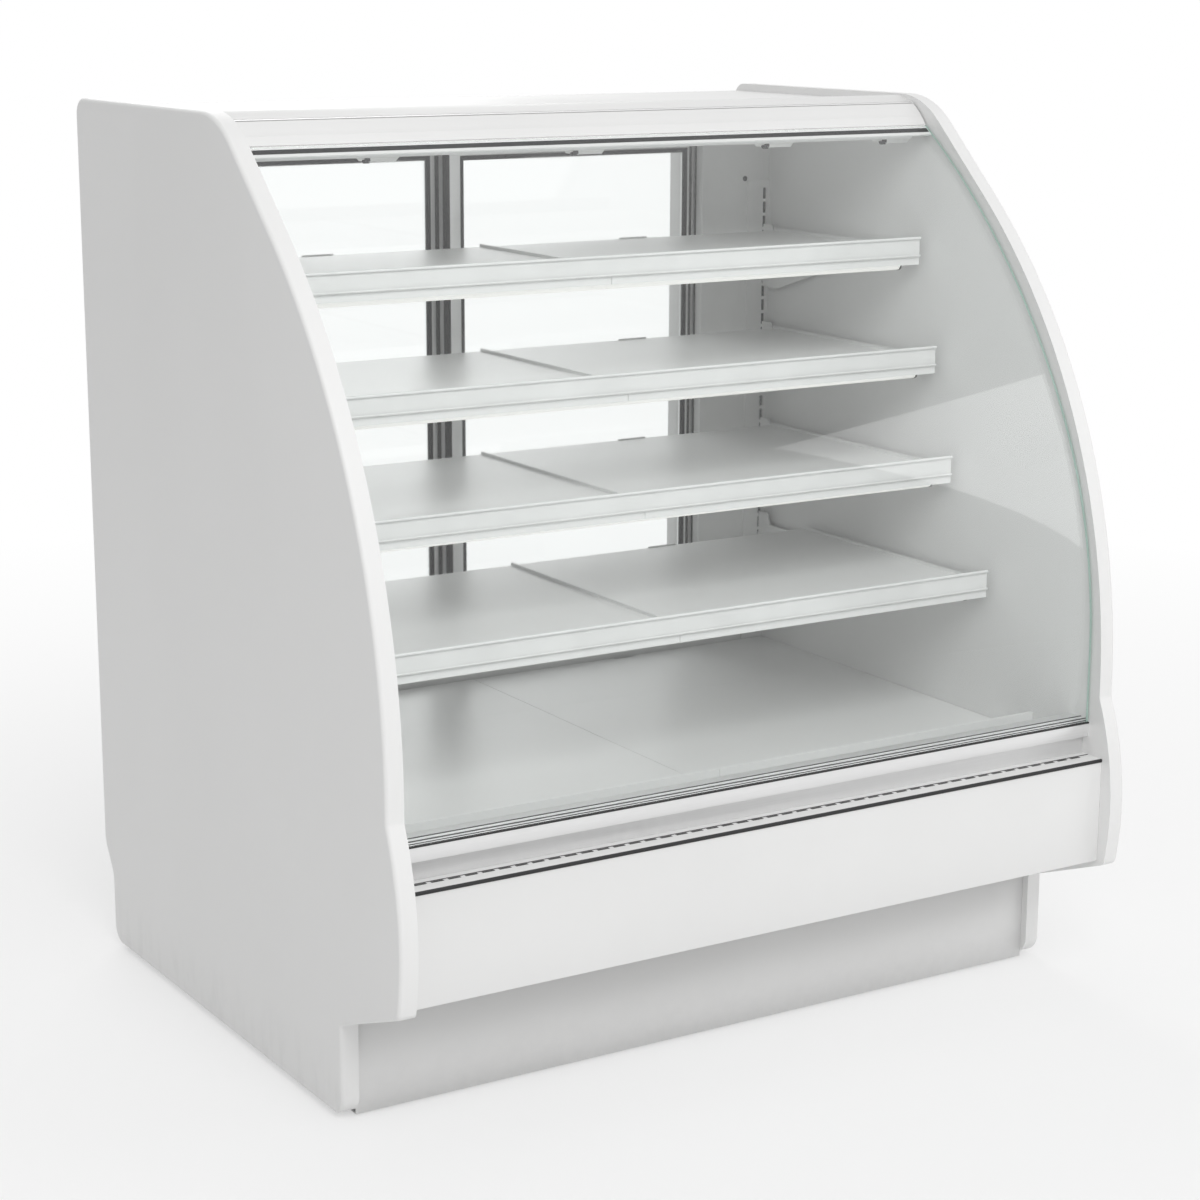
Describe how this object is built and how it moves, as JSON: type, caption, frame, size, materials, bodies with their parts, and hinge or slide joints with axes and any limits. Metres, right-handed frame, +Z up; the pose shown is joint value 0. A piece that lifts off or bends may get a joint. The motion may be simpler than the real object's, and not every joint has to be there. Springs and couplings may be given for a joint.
{
  "type": "curved glass refrigerated display case",
  "caption": "Refrigerated display case with shaped end panels, curved front glass that tilts up, lit stepped shelves, a recessed kick plate and sliding rear doors",
  "frame": {"origin": "centre of the footprint on the floor", "axes": "+X to the right seen from the front, +Y to the rear (the shopkeeper's side), +Z up"},
  "size_m": [1.308, 1.0879, 1.422],
  "materials": {
    "white_panel": "smooth white powder coat",
    "end_board": "white laminated board",
    "white_pan": "white powder coat",
    "satin_aluminium": "satin anodised",
    "clear_glass": "clear tempered",
    "lamp_lens": "opal lens",
    "black_rubber": "soft black",
    "black_plastic": "moulded black",
    "galvanised": "galvanised sheet",
    "black_steel": "black enamel",
    "tub_liner": "white liner over foam",
    "tag_rail": "pale extruded plastic",
    "clip_plastic": "clear moulded clip",
    "coil_metal": "thin fins",
    "screw_steel": "plated"
  },
  "bodies": {
    "cabinet": {"base_frame": "galvanised", "canopy_light": "lamp_lens", "compressor": "black_steel", "condensate_pan": "galvanised", "condenser_coil": "coil_metal", "condenser_shroud": "galvanised", "control_box": "black_plastic", "deck_pans": "white_pan", "drain_tube": "black_plastic", "end_panel_left": "end_board", "end_panel_right": "end_board", "evaporator_coil": "coil_metal", "fan_motors": "galvanised", "fan_shroud": "galvanised", "front_panel": "white_panel", "glass_hinge_rail": "satin_aluminium", "glass_sill": "satin_aluminium", "header_hood": "white_panel", "insulated_tub": "tub_liner", "kick_plate": "white_panel", "levelling_feet": "galvanised", "light_clips": "clip_plastic", "power_inlet": "black_plastic", "rear_head": "white_panel", "rear_jambs": "white_panel", "rear_louver_panel": "white_panel", "rear_sill": "white_panel", "return_air_grille": "white_pan", "rubber_seals": "black_rubber", "screws": "screw_steel", "shelf_1_pans": "white_pan", "shelf_2_pans": "white_pan", "shelf_3_pans": "white_pan", "shelf_4_pans": "white_pan", "shelf_brackets_1": "white_pan", "shelf_brackets_2": "white_pan", "shelf_brackets_3": "white_pan", "shelf_brackets_4": "white_pan", "shelf_light_1": "lamp_lens", "shelf_light_2": "lamp_lens", "shelf_light_3": "lamp_lens", "shelf_light_4": "lamp_lens", "tag_rail_1": "tag_rail", "tag_rail_2": "tag_rail", "tag_rail_3": "tag_rail", "tag_rail_4": "tag_rail", "top_panel": "white_panel", "uprights": "white_pan", "vent_ledge": "white_panel"},
    "front_leaf": {"front_glass": "clear_glass", "glass_clamp_rail": "white_panel"},
    "door_left": {"door_left_frame": "satin_aluminium", "door_left_glass": "clear_glass"},
    "door_right": {"door_right_frame": "satin_aluminium", "door_right_glass": "clear_glass"},
    "fan_left": {"evaporator_fan_left": "black_plastic"},
    "fan_right": {"evaporator_fan_right": "black_plastic"},
    "fan_rear": {"condenser_fan": "black_plastic"},
    "rocker": {"light_switch": "black_plastic"},
    "knob": {"thermostat_knob": "black_plastic"}
  },
  "joints": [
    {"name": "front_glass_tilt", "type": "hinge", "parent": "cabinet", "child": "front_leaf", "pos_m": [0, 0.021, 1.40101], "axis": [-1, 0, 0], "range_deg": [0, 48]},
    {"name": "door_left_slide", "type": "slide", "parent": "cabinet", "child": "door_left", "axis": [1, 0, 0], "range_m": [0, 0.45]},
    {"name": "door_right_slide", "type": "slide", "parent": "cabinet", "child": "door_right", "axis": [-1, 0, 0], "range_m": [0, 0.45]},
    {"name": "fan_left_spin", "type": "hinge", "parent": "cabinet", "child": "fan_left", "pos_m": [-0.3, 0.06, 0.326], "axis": [0, 1, 0], "continuous": true},
    {"name": "fan_right_spin", "type": "hinge", "parent": "cabinet", "child": "fan_right", "pos_m": [0.3, 0.06, 0.326], "axis": [0, 1, 0], "continuous": true},
    {"name": "fan_rear_spin", "type": "hinge", "parent": "cabinet", "child": "fan_rear", "pos_m": [-0.275, -0.12, 0.138], "axis": [0, 1, 0], "continuous": true},
    {"name": "light_rocker", "type": "hinge", "parent": "cabinet", "child": "rocker", "pos_m": [0.47, 0.509, 0.09], "axis": [0, 0, 1], "range_deg": [0, 12]},
    {"name": "thermostat_turn", "type": "hinge", "parent": "cabinet", "child": "knob", "pos_m": [0.525, 0.512, 0.09], "axis": [0, 1, 0], "range_deg": [0, 270]}
  ]
}
